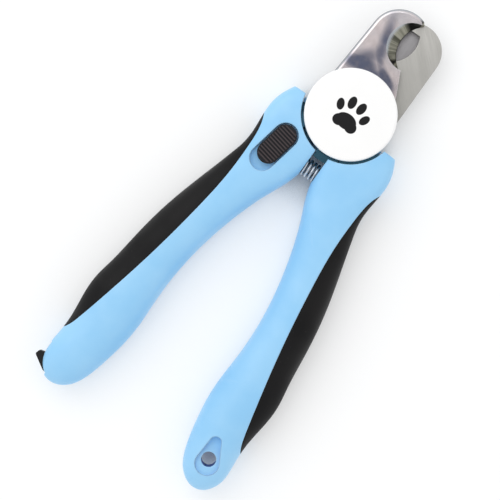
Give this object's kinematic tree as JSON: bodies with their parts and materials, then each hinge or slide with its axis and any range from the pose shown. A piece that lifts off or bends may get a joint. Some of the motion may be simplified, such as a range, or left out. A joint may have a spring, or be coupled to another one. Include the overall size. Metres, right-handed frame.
{
  "type": "scissor nail clipper",
  "caption": "Scissor-type pet nail clipper with hooked blades, pivot cap, spring-opened two-tone handles, slide lock, swing guard and a nail file in one handle.",
  "frame": {"origin": "on the pivot axis, at the flat rear face of the pivot nut that the piece rests on", "axes": "+Y towards the blades, +Z out of the capped face, +X towards the handle with the hanging hole"},
  "size_m": [0.0724, 0.1629, 0.017],
  "materials": {
    "steel_polished": "polished, with a bright rounded edge",
    "steel_brushed": "fine lengthwise brushing",
    "handle_blue": "satin moulded plastic",
    "grip_black": "soft matt rubber",
    "cap_white": "smooth gloss",
    "button_black": "ribbed, matt",
    "screw_steel": "turned",
    "washer_steel": "stamped",
    "guard_steel": "stamped, brushed",
    "spring_steel": "bright wire",
    "latch_steel": "stamped",
    "file_steel": "cross-cut file",
    "tab_black": "moulded"
  },
  "bodies": {
    "right_side": {"front_blade": "steel_polished", "right_handle_core": "handle_blue", "right_handle_grip": "grip_black", "pivot_screw": "screw_steel", "pivot_nut": "screw_steel", "front_washer": "washer_steel", "wave_washer": "washer_steel", "rear_washer": "washer_steel", "pivot_cap": "cap_white", "lock_stud": "latch_steel", "return_spring": "spring_steel"},
    "left_side": {"rear_blade": "steel_brushed", "left_handle_core": "handle_blue", "left_handle_grip": "grip_black", "lock_click_spring": "spring_steel", "file_click_spring": "spring_steel"},
    "guard": {"guard_plate": "guard_steel"},
    "lock": {"lock_button": "button_black", "lock_latch": "latch_steel"},
    "nail_file": {"nail_file_blade": "file_steel", "nail_file_tab": "tab_black"}
  },
  "joints": [
    {"name": "handle_pivot", "type": "hinge", "parent": "right_side", "child": "left_side", "pos_m": [0, 0, 0.0085], "axis": [0, 0, 1], "range_deg": [0, 11], "stiffness_Nm_per_rad": 0.5, "springref_deg": -20.05, "deforming": ["return_spring"]},
    {"name": "guard_swing", "type": "hinge", "parent": "right_side", "child": "guard", "pos_m": [0, 0, 0.00435], "axis": [0, 0, 1], "range_deg": [-40, 0]},
    {"name": "lock_slide", "type": "slide", "parent": "left_side", "child": "lock", "axis": [-0.1891, -0.982, 0], "range_m": [0, 0.0027]},
    {"name": "file_slide", "type": "slide", "parent": "left_side", "child": "nail_file", "axis": [-0.2317, -0.9728, 0], "range_m": [0, 0.065]}
  ]
}
